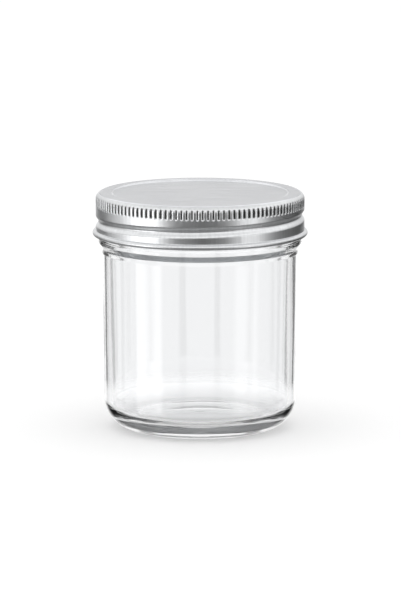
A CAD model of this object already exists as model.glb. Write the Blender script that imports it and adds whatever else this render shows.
import bmesh
import bpy
import math
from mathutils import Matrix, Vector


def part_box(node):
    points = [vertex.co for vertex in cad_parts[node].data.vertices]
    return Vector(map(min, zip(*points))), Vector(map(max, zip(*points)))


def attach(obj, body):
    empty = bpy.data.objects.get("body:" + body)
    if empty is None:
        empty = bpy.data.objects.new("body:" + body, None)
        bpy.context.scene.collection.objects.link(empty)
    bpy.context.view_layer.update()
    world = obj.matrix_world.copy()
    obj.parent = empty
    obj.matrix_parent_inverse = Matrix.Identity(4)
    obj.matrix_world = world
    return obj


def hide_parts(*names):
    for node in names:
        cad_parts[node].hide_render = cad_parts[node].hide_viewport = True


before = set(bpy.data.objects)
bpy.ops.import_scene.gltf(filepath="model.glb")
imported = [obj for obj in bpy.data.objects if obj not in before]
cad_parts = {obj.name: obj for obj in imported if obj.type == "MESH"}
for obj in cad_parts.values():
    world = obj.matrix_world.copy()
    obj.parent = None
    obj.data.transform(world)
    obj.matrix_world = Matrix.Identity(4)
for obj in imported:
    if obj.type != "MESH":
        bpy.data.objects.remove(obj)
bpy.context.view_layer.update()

mm = 0.001
turn = 2 * math.pi


class Sig:  # wraps one output socket, so that shader maths reads like plain arithmetic
    def __init__(self, tree, socket):
        self.tree = tree
        self.socket = socket

    def maths(self, operation, first, second=None):
        node = self.tree.nodes.new("ShaderNodeMath")
        node.operation = operation
        for place, value in enumerate((first, second)):
            if isinstance(value, Sig):
                self.tree.links.new(value.socket, node.inputs[place])
            elif value is not None:
                node.inputs[place].default_value = value
        return Sig(self.tree, node.outputs[0])

    def __add__(self, other):
        return self.maths("ADD", self, other)

    def __sub__(self, other):
        return self.maths("SUBTRACT", self, other)

    def __rsub__(self, other):
        return self.maths("SUBTRACT", other, self)

    def __mul__(self, other):
        return self.maths("MULTIPLY", self, other)

    def __truediv__(self, other):
        return self.maths("DIVIDE", self, other)

    def __abs__(self):
        return self.maths("ABSOLUTE", self)

    __radd__ = __add__
    __rmul__ = __mul__


class Board:  # one node tree, emptied and ready to be wired
    def __init__(self, tree):
        self.tree = tree
        tree.nodes.clear()

    def node(self, kind, settings=None, sockets=None, out=0):
        made = self.tree.nodes.new(kind)
        for name, value in (settings or {}).items():
            if name == "stops":
                self.setStops(made.color_ramp, value)
            else:
                setattr(made, name, value)
        for name, value in (sockets or {}).items():
            if isinstance(value, Sig):
                self.tree.links.new(value.socket, made.inputs[name])
            else:
                made.inputs[name].default_value = value
        return Sig(self.tree, made.outputs[out]) if len(made.outputs) else made

    def setStops(self, ramp, stops):
        while len(ramp.elements) < len(stops):
            ramp.elements.new(0.5)
        for element, (place, tone) in zip(ramp.elements, stops):
            element.position = place
            element.color = (tone, tone, tone, 1)

    def smooth(self, value, low, high, lowValue=0.0, highValue=1.0):
        return self.node("ShaderNodeMapRange", {"interpolation_type": "SMOOTHSTEP"},
                         {"Value": value, "From Min": low, "From Max": high,
                          "To Min": lowValue, "To Max": highValue})

    def blendColors(self, share, first, second):
        return self.node("ShaderNodeMix", {"data_type": "RGBA"}, {0: share, 6: first, 7: second}, 2)


def smoothStep(value, low, high):
    share = min(1.0, max(0.0, (value - low) / (high - low)))
    return share * share * (3 - 2 * share)


def unit(x, y):
    length = math.hypot(x, y)
    return x / length, y / length


def roundedPath(corners, spacing):
    # (radius, height) points along an outline of (radius, height, rounding) corners, with arcs at the corners
    arcStep = math.radians(9)
    fewestArcSteps = 4
    shortest = 1e-6
    path = [corners[0][:2]]

    def lineTo(end):
        start = path[-1]
        steps = max(1, math.ceil(math.dist(start, end) / spacing))
        for i in range(1, steps + 1):
            r = start[0] + (end[0] - start[0]) * i / steps
            z = start[1] + (end[1] - start[1]) * i / steps
            path.append((r, z))

    for before, corner, after in zip(corners, corners[1:], corners[2:]):
        if corner[2] <= 0:
            lineTo(corner[:2])
            continue
        back = unit(before[0] - corner[0], before[1] - corner[1])
        on = unit(after[0] - corner[0], after[1] - corner[1])
        half = math.acos(back[0] * on[0] + back[1] * on[1]) / 2
        reach = corner[2] / math.tan(half)
        inward = unit(back[0] + on[0], back[1] + on[1])
        away = corner[2] / math.sin(half)
        center = (corner[0] + inward[0] * away, corner[1] + inward[1] * away)
        start = (corner[0] + back[0] * reach, corner[1] + back[1] * reach)
        end = (corner[0] + on[0] * reach, corner[1] + on[1] * reach)
        if math.dist(start, path[-1]) > shortest:
            lineTo(start)
        first = math.atan2(start[1] - center[1], start[0] - center[0])
        last = math.atan2(end[1] - center[1], end[0] - center[0])
        sweep = (last - first + math.pi) % turn - math.pi
        steps = max(fewestArcSteps, math.ceil(abs(sweep) / arcStep))
        for i in range(1, steps + 1):
            angle = first + sweep * i / steps
            path.append((center[0] + corner[2] * math.cos(angle), center[1] + corner[2] * math.sin(angle)))
    lineTo(corners[-1][:2])
    return path


def bezierPath(poles, steps):
    # points after the first pole of a cubic
    made = []
    for i in range(1, steps + 1):
        t = i / steps
        weights = ((1 - t) ** 3, 3 * t * (1 - t) ** 2, 3 * t * t * (1 - t), t ** 3)
        made.append(tuple(sum(w * p[axis] for w, p in zip(weights, poles)) for axis in (0, 1)))
    return made


def turnedMesh(name, rows, place):
    # A closed skin of rings, in millimetres. rows holds (radius, height, tag, segments) from one pole to the
    # other, and place(radius, height, tag, angle) gives the radius and height that a point really gets.
    # The angle runs from the front, -Y, towards +X.
    vertices = []
    rings = []
    for radius, height, tag, segments in rows:
        if radius <= 0:
            rings.append([len(vertices)])
            vertices.append((0, 0, height * mm))
            continue
        ring = []
        for i in range(segments):
            angle = turn * i / segments
            r, z = place(radius, height, tag, angle)
            ring.append(len(vertices))
            vertices.append((r * mm * math.sin(angle), -r * mm * math.cos(angle), z * mm))
        rings.append(ring)
    faces = []
    for lower, upper in zip(rings, rings[1:]):
        flip = len(lower) > len(upper)
        inner, outer = (upper, lower) if flip else (lower, upper)
        small, large = len(inner), len(outer)
        pole = small == 1
        step = 1 if pole else large // small  # a finer ring has a whole number of points for each coarse one
        for i in range(large if pole else small):
            far = [outer[(i * step + j) % large] for j in range(step + 1)]
            near = [inner[0]] if pole else [inner[i], inner[(i + 1) % small]]
            face = near + far[::-1]
            faces.append(face[::-1] if flip else face)
    mesh = bpy.data.meshes.new(name)
    mesh.from_pydata(vertices, [], faces)
    mesh.validate()
    outward = bmesh.new()
    outward.from_mesh(mesh)
    bmesh.ops.recalc_face_normals(outward, faces=outward.faces)
    outward.to_mesh(mesh)
    outward.free()
    for polygon in mesh.polygons:
        polygon.use_smooth = True
    piece = bpy.data.objects.new(name, mesh)
    bpy.context.scene.collection.objects.link(piece)
    return piece


def makeCamera():
    settings = {"distance": 2.0965, "lookDown": 9.65, "aim": (0.00017, 0.0, 0.0535), "lens": 299.5,
                "sensor": 36, "farthest": 30}
    camera = bpy.data.objects.new("shotCamera", bpy.data.cameras.new("shotCamera"))
    camera.data.sensor_width = settings["sensor"]
    camera.data.lens = settings["lens"]
    camera.data.clip_end = settings["farthest"]
    tilt = math.radians(settings["lookDown"])
    aim = settings["aim"]
    camera.location = (aim[0], aim[1] - settings["distance"] * math.cos(tilt),
                       aim[2] + settings["distance"] * math.sin(tilt))
    camera.rotation_euler = (math.pi / 2 - tilt, 0, 0)
    bpy.context.scene.collection.objects.link(camera)
    bpy.context.scene.camera = camera


def makeWorld():
    # Reflections, views through the glass, and plain light each get their own studio, set out by direction.
    # Angles are in degrees: round from the front, towards +X, and up from level.
    studio = {
        "ambient": 0.80, "brightest": 1.5, "sideEnd": 150, "backStart": 162,
        "panelLow": -24, "panelHigh": 2, "panelLowSoft": 4, "panelHighSoft": 8,
        "flagEvery": 45, "flagFrom": 22.5, "flagHalf": 4.0, "flagSoft": 1.5, "flagLevel": 0.12,
        "panels": [  # middle, half width, edge softness, level
            (-64, 17.5, 3, 2.6),
            (-104, 14, 10, 0.5),
            (57, 15, 5, 1.5),
        ],
        "mirroredBehind": [  # height, level
            (-90, 0.95), (-20, 0.95), (-10, 1.2), (2, 1.2), (6, 0.70), (18, 0.70), (26, 1.25), (40, 1.25),
            (50, 0.85), (80, 0.90),
        ],
        "mirroredBefore": [
            (-90, 0.30), (-40, 0.30), (-24, 0.05), (-4, 0.03), (5, 0.75), (18, 0.75), (28, 1.25), (42, 1.25),
            (52, 0.90), (80, 0.90),
        ],
        "seenThroughGlass": [
            (-90, 1.0), (18, 1.0), (21, 0.15), (25, 0.15), (28, 1.0), (42, 1.0), (45, 0.15), (49, 0.15),
            (52, 1.0), (72, 1.0), (76, 0.3), (90, 0.3),
        ],
    }
    world = bpy.data.worlds.new("studio")
    bpy.context.scene.world = world
    world.use_nodes = True
    board = Board(world.node_tree)
    direction = board.node("ShaderNodeTexCoord", out="Generated")
    x = board.node("ShaderNodeSeparateXYZ", {}, {"Vector": direction}, "X")
    y = board.node("ShaderNodeSeparateXYZ", {}, {"Vector": direction}, "Y")
    z = board.node("ShaderNodeSeparateXYZ", {}, {"Vector": direction}, "Z")
    toDegrees = math.degrees(1)
    around = x.maths("ARCTAN2", x, y * -1) * toDegrees
    height = z.maths("ARCSINE", z) * toDegrees

    def byHeight(levels):
        stops = [((degrees + 90) / 180, level / studio["brightest"]) for degrees, level in levels]
        ramp = board.node("ShaderNodeValToRGB", {"stops": stops}, {"Fac": (height + 90) / 180})
        return ramp * studio["brightest"]

    low, high = studio["panelLow"], studio["panelHigh"]
    window = board.smooth(height, low - studio["panelLowSoft"], low)
    window = window * board.smooth(height, high + studio["panelHighSoft"], high)
    sides = byHeight(studio["mirroredBefore"])
    for middle, halfWidth, softness, bright in studio["panels"]:
        across = board.smooth(abs(around - middle), halfWidth + softness, halfWidth - softness)
        sides = sides + across * window * bright
    back = board.smooth(abs(around), studio["sideEnd"], studio["backStart"])
    mirrored = sides * (1 - back) + byHeight(studio["mirroredBehind"]) * back

    # dark upright flags at even steps, which show as dark lines near the edges of the glass
    flagTurns = abs(around) / studio["flagEvery"]
    offFlag = abs(flagTurns.maths("FRACT", flagTurns) * studio["flagEvery"] - studio["flagFrom"])
    half, soft = studio["flagHalf"], studio["flagSoft"]
    clear = board.smooth(offFlag, half - soft, half + soft, studio["flagLevel"], 1)
    clear = clear * byHeight(studio["seenThroughGlass"])

    glossy = board.node("ShaderNodeLightPath", out="Is Glossy Ray")
    straight = board.node("ShaderNodeLightPath", out="Is Camera Ray")
    through = board.node("ShaderNodeLightPath", out="Is Transmission Ray")
    reflected = glossy * (1 - through)
    plain = 1 - straight - through - reflected
    strength = straight + through * clear + reflected * mirrored + plain * studio["ambient"]
    shown = board.node("ShaderNodeBackground", {}, {"Color": (1, 1, 1, 1), "Strength": strength})
    board.node("ShaderNodeOutputWorld", {}, {"Surface": shown})


def makeLamp():
    settings = {"size": 1.1, "watts": 1.5, "at": (-0.15, -0.1, 1.2)}
    data = bpy.data.lights.new("overhead", "AREA")
    data.size = settings["size"]
    data.energy = settings["watts"]
    lamp = bpy.data.objects.new("overhead", data)
    lamp.location = settings["at"]
    lamp.visible_glossy = False
    lamp.visible_transmission = False
    bpy.context.scene.collection.objects.link(lamp)


def makeFloor():
    # Through the glass the floor shows only near the jar, and the studio shows beyond it.
    settings = {"radius": 5.0, "corners": 96, "color": (0.8, 0.8, 0.8, 1), "glow": 0.37,
                "glowThroughGlass": 0.5, "nearTo": 0.09, "farFrom": 0.13}
    mesh = bpy.data.meshes.new("floor")
    rim = []
    for i in range(settings["corners"]):
        angle = turn * i / settings["corners"]
        rim.append((settings["radius"] * math.cos(angle), settings["radius"] * math.sin(angle), 0))
    mesh.from_pydata(rim, [], [list(range(settings["corners"]))])
    floor = bpy.data.objects.new("floor", mesh)
    bpy.context.scene.collection.objects.link(floor)
    material = bpy.data.materials.new("paleFloor")
    material.use_nodes = True
    board = Board(material.node_tree)
    glossy = board.node("ShaderNodeLightPath", out="Is Glossy Ray")
    straight = board.node("ShaderNodeLightPath", out="Is Camera Ray")
    through = board.node("ShaderNodeLightPath", out="Is Transmission Ray")
    lit = board.node("ShaderNodeBsdfDiffuse", {}, {"Color": settings["color"]})
    glowing = straight * settings["glow"] + through * settings["glowThroughGlass"]
    glow = board.node("ShaderNodeEmission", {}, {"Strength": glowing})
    both = board.node("ShaderNodeAddShader", {}, {0: lit, 1: glow})
    open = board.node("ShaderNodeBsdfTransparent")
    place = board.node("ShaderNodeTexCoord", out="Object")
    fromJar = board.node("ShaderNodeVectorMath", {"operation": "LENGTH"}, {0: place}, "Value")
    far = board.smooth(fromJar, settings["nearTo"], settings["farFrom"])
    mirrored = glossy * (1 - through)  # shiny surfaces mirror the studio's own ground instead
    surface = board.node("ShaderNodeMixShader", {}, {0: mirrored + through * far, 1: both, 2: open})
    board.node("ShaderNodeOutputMaterial", {}, {"Surface": surface})
    mesh.materials.append(material)


jar = {  # millimetres and degrees, with drops measured from the rim
    "bodyRadius": 41.0, "taper": 0.8, "wall": 3.3, "floorHeight": 7.4, "pushUp": 1.6, "heel": 13.0,
    "restingWidth": 2.2, "floorFillet": 5.0, "neckStep": 0.8, "shoulderDrop": 24.8, "grooveDepth": 0.55,
    "grooveRise": 1.5, "ringOut": 0.7, "ringRise": 2.7, "ringHeight": 1.6, "ringSlope": 0.6, "rounding": 0.8,
    "rimInner": 1.2, "rimOuter": 1.5, "threadOut": 1.2, "threadHalf": 1.4, "threadEnd": 76, "threadTurn": 330,
    "threadFade": 30, "threadFrontDrop": 7.72, "pitch": 5.6, "segments": 360, "domeSteps": 50,
    "outerSpacing": 1.0, "innerSpacing": 2.0, "waveIn": 0.07, "waveOut": 0.02, "stipples": 90,
    "stippleDepth": 0.15, "moldMark": 3.2, "moldMarkRise": 0.06, "moldMarkWidth": 0.35,
}


def makeJar():
    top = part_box("glass_jar")[1][2] / mm
    shoulder = top - jar["shoulderDrop"]
    body = jar["bodyRadius"]
    slope = jar["taper"] / (shoulder - jar["heel"])
    heelBody = body - jar["taper"]
    neck = body + jar["neckStep"]
    ring = neck + jar["ringOut"]
    groove = shoulder + jar["grooveRise"]
    ringBottom = groove + jar["ringRise"]
    ringTop = ringBottom + jar["ringHeight"]
    neckBottom = ringTop + jar["ringSlope"]
    restingOuter = heelBody - jar["heel"]
    restingInner = restingOuter - jar["restingWidth"]
    innerTop = body - jar["wall"] + slope * (top - shoulder)
    innerBottom = heelBody - jar["wall"] - slope * (jar["heel"] - jar["floorHeight"])
    segments = jar["segments"]

    dome = (restingInner ** 2 + jar["pushUp"] ** 2) / (2 * jar["pushUp"])
    rows = [(0, jar["pushUp"], "under", segments)]
    for i in range(1, jar["domeSteps"]):
        radius = restingInner * i / jar["domeSteps"]
        height = jar["pushUp"] - dome + math.sqrt(dome ** 2 - radius ** 2)
        rows.append((radius, height, "under", segments))
    outer = roundedPath([
        (restingInner, 0, 0),
        (heelBody - slope * jar["heel"], 0, jar["heel"]),
        (body, shoulder, jar["rounding"]),
        (body - jar["grooveDepth"], groove, jar["rounding"]),
        (ring, ringBottom, jar["rounding"]),
        (ring, ringTop, jar["rounding"]),
        (neck, neckBottom, 0),
        (neck, top, jar["rimOuter"]),
        (innerTop + jar["rimInner"], top, 0),
    ], jar["outerSpacing"])
    inner = roundedPath([
        (innerTop + jar["rimInner"], top, 0),
        (innerTop, top, jar["rimInner"]),
        (innerBottom, jar["floorHeight"], jar["floorFillet"]),
        (0, jar["floorHeight"], 0),
    ], jar["innerSpacing"])
    rows += [(r, z, "out", segments) for r, z in outer]
    rows += [(r, z, "in", segments) for r, z in inner[1:-1]]
    rows.append((0, jar["floorHeight"], "in", segments))

    def place(r, z, tag, angle):
        if tag == "under":
            offMark = (r - jar["moldMark"]) / jar["moldMarkWidth"]
            return r, z + jar["moldMarkRise"] * math.exp(-offMark ** 2)
        if tag == "in":  # the waves fade out towards the floor and the neck
            fade = smoothStep(z, jar["floorHeight"] + 1, jar["floorHeight"] + 14)
            fade *= 1 - smoothStep(z, top - 14, top - 4)
            return r + jar["waveIn"] * fade * wave(angle, z, 4.0), z
        if z < 0.01 and restingInner + 0.1 < r < restingOuter:
            return r, z + jar["stippleDepth"] * (0.5 - 0.5 * math.cos(jar["stipples"] * angle))
        if neckBottom < z < top - jar["rimOuter"]:
            return r + threadLift(z, math.degrees(angle), top), z
        if jar["heel"] < z < shoulder - 2:
            return r - jar["waveOut"] * (0.5 + 0.5 * wave(angle, z, 1.0)), z
        return r, z

    piece = turnedMesh("jarGlass", rows, place)
    piece.data.materials.append(glassMaterial())
    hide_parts("glass_jar")
    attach(piece, "root")
    return piece


def threadLift(z, degrees, top):
    # height of the thread ridge above the neck: just under one turn, fading at both ends
    lift = 0
    for lap in (-360, 0):
        at = degrees + lap
        fromEnd = min(at - (jar["threadEnd"] - jar["threadTurn"]), jar["threadEnd"] - at)
        if fromEnd <= 0:
            continue
        middle = top - jar["threadFrontDrop"] + jar["pitch"] * at / 360
        near = abs(z - middle) / jar["threadHalf"]
        if near < 1:
            fade = smoothStep(fromEnd, 0, jar["threadFade"])
            lift = jar["threadOut"] * fade * (0.5 + 0.5 * math.cos(math.pi * near))
    return lift


def wave(angle, z, seed):
    # slow unevenness of moulded glass, from -1 to 1, the same on every run
    total = 0.45 * math.sin(3 * angle + seed + 0.035 * z)
    total += 0.30 * math.sin(7 * angle - 1.7 * seed + 0.02 * z)
    total += 0.25 * math.sin(13 * angle + 2.3 * seed - 0.045 * z)
    return total


def glassMaterial():
    look = {"tint": (0.962, 0.966, 0.971, 1), "index": 1.5, "ripples": 55.0, "rippleBump": 0.02,
            "rippleDepth": 0.002, "smudges": 30.0, "smudgeRoughness": 0.03}
    material = bpy.data.materials.new("clearGlass")
    material.use_nodes = True
    board = Board(material.node_tree)
    place = board.node("ShaderNodeTexCoord", out="Object")
    ripples = board.node("ShaderNodeTexNoise", {}, {"Vector": place, "Scale": look["ripples"], "Detail": 1.0})
    smudges = board.node("ShaderNodeTexNoise", {}, {"Vector": place, "Scale": look["smudges"], "Detail": 3.0})
    bump = board.node("ShaderNodeBump", {}, {
        "Strength": look["rippleBump"], "Distance": look["rippleDepth"], "Height": ripples})
    roughness = board.smooth(smudges, 0.55, 0.8, 0.0, look["smudgeRoughness"])
    glass = board.node("ShaderNodeBsdfPrincipled", {}, {
        "Base Color": look["tint"], "Roughness": roughness, "IOR": look["index"],
        "Transmission Weight": 1.0, "Normal": bump})
    board.node("ShaderNodeOutputMaterial", {}, {"Surface": glass})
    return material


lid = {  # millimetres and degrees, with drops measured from the top of the lid
    "sheet": 0.4, "topRound": 2.6, "skirtHeight": 16.9, "beadRound": 1.1, "beadOut": 1.35, "beadCurl": 200,
    "flareHeight": 1.3, "flarePull": 0.15, "beadAngle": 80, "recess": 0.5, "panelInset": 5.95,
    "stepWidth": 2.0, "flutes": 124, "fluteDepth": 0.45, "fluteDrop": 1.4, "fluteHeight": 4.2,
    "perFlute": 12, "pitch": 5.6, "rollDepth": 1.15, "rollHalf": 2.4, "rollDrop": 10.6,
    "rollStart": -148, "rollEnd": 148, "rollFade": 30, "beadSteps": 18, "innerSpacing": 0.6,
    "boxMargin": 0.004,
}


def rollDepthAt(z, degrees, top):
    # depth of the helical groove rolled into the skirt, at a height and an angle
    at = (degrees + 180) % 360 - 180
    fromEnd = min(at - lid["rollStart"], lid["rollEnd"] - at)
    if fromEnd <= 0:
        return 0
    middle = top - lid["rollDrop"] + lid["pitch"] * at / 360
    near = abs(z - middle) / lid["rollHalf"]
    if near >= 1:
        return 0
    fade = smoothStep(fromEnd, 0, lid["rollFade"])
    return lid["rollDepth"] * fade * (0.5 + 0.5 * math.cos(math.pi * near))


def makeLid():
    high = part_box("screw_lid")[1]
    top = high[2] / mm
    skirt = high[0] / mm - lid["beadOut"] - lid["boxMargin"]
    beadRound = lid["beadRound"]
    bead = skirt + lid["beadOut"] - beadRound
    beadHeight = top - lid["skirtHeight"]
    sheet = lid["sheet"]
    stepOuter = skirt - lid["panelInset"]
    stepInner = stepOuter - lid["stepWidth"]
    halfStep = lid["stepWidth"] / 2
    meet = math.radians(lid["beadAngle"])
    meetPoint = (bead + beadRound * math.cos(meet), beadHeight + beadRound * math.sin(meet))
    flare = beadHeight + lid["flareHeight"]
    fine = lid["flutes"] * lid["perFlute"]
    middling = fine // 2
    coarse = fine // 4
    fluteTop = top - lid["fluteDrop"]
    fluteBottom = fluteTop - lid["fluteHeight"]

    panel = top - lid["recess"]
    rows = [(0, panel, "top", coarse)]
    rows += [(stepInner * share, panel, "top", coarse) for share in (0.2, 0.4, 0.6, 0.8, 0.97, 1.0)]
    stepPoles = [(stepInner, panel), (stepInner + halfStep, panel),
                 (stepOuter - halfStep, top), (stepOuter, top)]
    rows += [(r, z, "top", coarse) for r, z in bezierPath(stepPoles, 12)]
    edgeStart = skirt - lid["topRound"] - 0.5
    rows += [(stepOuter + 0.4, top, "top", coarse), (edgeStart, top, "top", middling)]
    edge = roundedPath([(edgeStart, top, 0), (skirt, top, lid["topRound"]), (skirt, flare, 0)], 0.3)
    for r, z in edge[1:]:
        fluted = fluteBottom - 0.2 < z < top - 0.5
        rows.append((r, z, "out", fine if fluted else middling))
    pull = 0.7 * lid["flarePull"]
    flarePoles = [(skirt, flare), (skirt, flare - lid["flarePull"]),
                  (meetPoint[0] - pull * math.sin(meet), meetPoint[1] + pull * math.cos(meet)), meetPoint]
    rows += [(r, z, "out", middling) for r, z in bezierPath(flarePoles, 8)]
    for i in range(1, lid["beadSteps"] + 1):
        angle = meet - math.radians(lid["beadCurl"]) * i / lid["beadSteps"]
        r = bead + beadRound * math.cos(angle)
        z = beadHeight + beadRound * math.sin(angle)
        rows.append((r, z, "bead", middling))
    inside = skirt - sheet
    grip = inside - lid["fluteDepth"]  # the sheet steps in behind the flutes
    under = top - sheet
    height = beadHeight - 0.5
    while height < fluteBottom - 2 * sheet:
        rows.append((inside, height, "in", coarse))
        height += lid["innerSpacing"]
    rows += [(inside, fluteBottom - 2 * sheet, "in", coarse), (grip, fluteBottom - sheet, "in", coarse)]
    corner = [(grip, fluteBottom, 0), (grip, under, lid["topRound"] - sheet), (stepOuter, under, 0)]
    corner = roundedPath(corner, 2)
    rows += [(r, z, "flat", coarse) for r, z in corner]
    rows += [(r, z - sheet, "flat", coarse) for r, z in bezierPath(stepPoles[::-1], 4)]
    rows += [(stepInner * 0.5, panel - sheet, "flat", coarse), (0, panel - sheet, "flat", coarse)]

    def place(r, z, tag, angle):
        degrees = math.degrees(angle)
        if tag == "out":
            window = smoothStep(z, fluteBottom - 0.1, fluteBottom + 0.4)
            window *= 1 - smoothStep(z, fluteTop - 0.5, fluteTop + 0.2)
            valley = 0.5 - 0.5 * math.cos(lid["flutes"] * angle)
            return r - lid["fluteDepth"] * window * valley ** 3 - rollDepthAt(z, degrees, top), z
        if tag == "in":
            return r - rollDepthAt(z, degrees, top), z
        return r, z

    piece = turnedMesh("lidMetal", rows, place)
    piece.data.materials.append(skirtMetal(skirt, fluteTop * mm, fluteBottom * mm))
    piece.data.materials.append(panelMetal())
    for polygon in piece.data.polygons:  # the level top, outside only
        if polygon.normal.z > 0.9 and polygon.center.z > (panel - sheet / 2) * mm:
            polygon.material_index = 1
    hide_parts("screw_lid")
    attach(piece, "root")
    return piece


def skirtMetal(skirt, fluteTop, fluteBottom):
    look = {"color": (0.80, 0.81, 0.82, 1), "darker": (0.70, 0.71, 0.72, 1),
            "inFlutes": (0.07, 0.07, 0.07, 1), "grainBump": 0.05, "grainDepth": 0.0002}
    material = bpy.data.materials.new("skirtMetal")
    material.use_nodes = True
    board = Board(material.node_tree)
    place = board.node("ShaderNodeTexCoord", out="Object")
    x = board.node("ShaderNodeSeparateXYZ", {}, {"Vector": place}, "X")
    y = board.node("ShaderNodeSeparateXYZ", {}, {"Vector": place}, "Y")
    z = board.node("ShaderNodeSeparateXYZ", {}, {"Vector": place}, "Z")
    drawn = board.node("ShaderNodeMapping", {}, {"Vector": place, "Scale": (900, 900, 60)})
    grain = board.node("ShaderNodeTexNoise", {}, {"Vector": drawn, "Scale": 1.0, "Detail": 3.0})
    clouds = board.node("ShaderNodeTexNoise", {}, {"Vector": place, "Scale": 70.0, "Detail": 4.0})
    tone = board.smooth(grain * 0.5 + clouds * 0.5, 0.35, 0.65)
    alongFlutes = x.maths("ARCTAN2", x, y * -1) * lid["flutes"]
    valley = 0.5 - alongFlutes.maths("COSINE", alongFlutes) * 0.5
    band = board.smooth(z, fluteBottom, fluteBottom + 0.4 * mm)
    band = band * board.smooth(z, fluteTop, fluteTop - 0.4 * mm)
    flat = board.node("ShaderNodeCombineXYZ", {}, {"X": x, "Y": y})
    radius = board.node("ShaderNodeVectorMath", {"operation": "LENGTH"}, {0: flat}, "Value")
    valleyFloor = (skirt - lid["fluteDepth"]) * mm
    outside = board.smooth(radius, valleyFloor - 0.2 * mm, valleyFloor)  # not on the inner face of the sheet
    soiled = board.smooth(valley, 0.62, 0.85) * band * outside
    clean = board.blendColors(tone, look["darker"], look["color"])
    color = board.blendColors(soiled, clean, look["inFlutes"])
    bump = board.node("ShaderNodeBump", {}, {
        "Strength": look["grainBump"], "Distance": look["grainDepth"], "Height": grain})
    metal = board.node("ShaderNodeBsdfPrincipled", {}, {
        "Base Color": color, "Metallic": 1.0, "Roughness": board.smooth(tone, 0, 1, 0.34, 0.29),
        "Anisotropic": 0.80, "Normal": bump})
    board.node("ShaderNodeOutputMaterial", {}, {"Surface": metal})
    return material


def panelMetal():
    look = {"color": (0.80, 0.81, 0.835, 1), "darker": (0.63, 0.64, 0.665, 1),
            "grainBump": 0.12, "grainDepth": 0.0002}
    material = bpy.data.materials.new("panelMetal")
    material.use_nodes = True
    board = Board(material.node_tree)
    place = board.node("ShaderNodeTexCoord", out="Object")
    stretched = board.node("ShaderNodeMapping", {}, {"Vector": place, "Scale": (40, 2400, 40)})
    grain = board.node("ShaderNodeTexNoise", {}, {"Vector": stretched, "Scale": 1.0, "Detail": 3.0})
    clouds = board.node("ShaderNodeTexNoise", {}, {"Vector": place, "Scale": 35.0, "Detail": 3.0})
    tone = board.smooth(grain * 0.7 + clouds * 0.3, 0.35, 0.65)
    color = board.blendColors(tone, look["darker"], look["color"])
    bump = board.node("ShaderNodeBump", {}, {
        "Strength": look["grainBump"], "Distance": look["grainDepth"], "Height": grain})
    metal = board.node("ShaderNodeBsdfPrincipled", {}, {
        "Base Color": color, "Metallic": 1.0, "Roughness": board.smooth(tone, 0, 1, 0.24, 0.18),
        "Normal": bump})
    board.node("ShaderNodeOutputMaterial", {}, {"Surface": metal})
    return material


makeCamera()
print("camera ready")
makeWorld()
makeLamp()
makeFloor()
print("studio ready")
makeJar()
print("glass jar ready")
makeLid()
print("metal lid ready")

bpy.context.scene.view_settings.view_transform = "Standard"
bpy.context.scene.cycles.max_bounces = 32
bpy.context.scene.cycles.glossy_bounces = 16
bpy.context.scene.cycles.transmission_bounces = 24
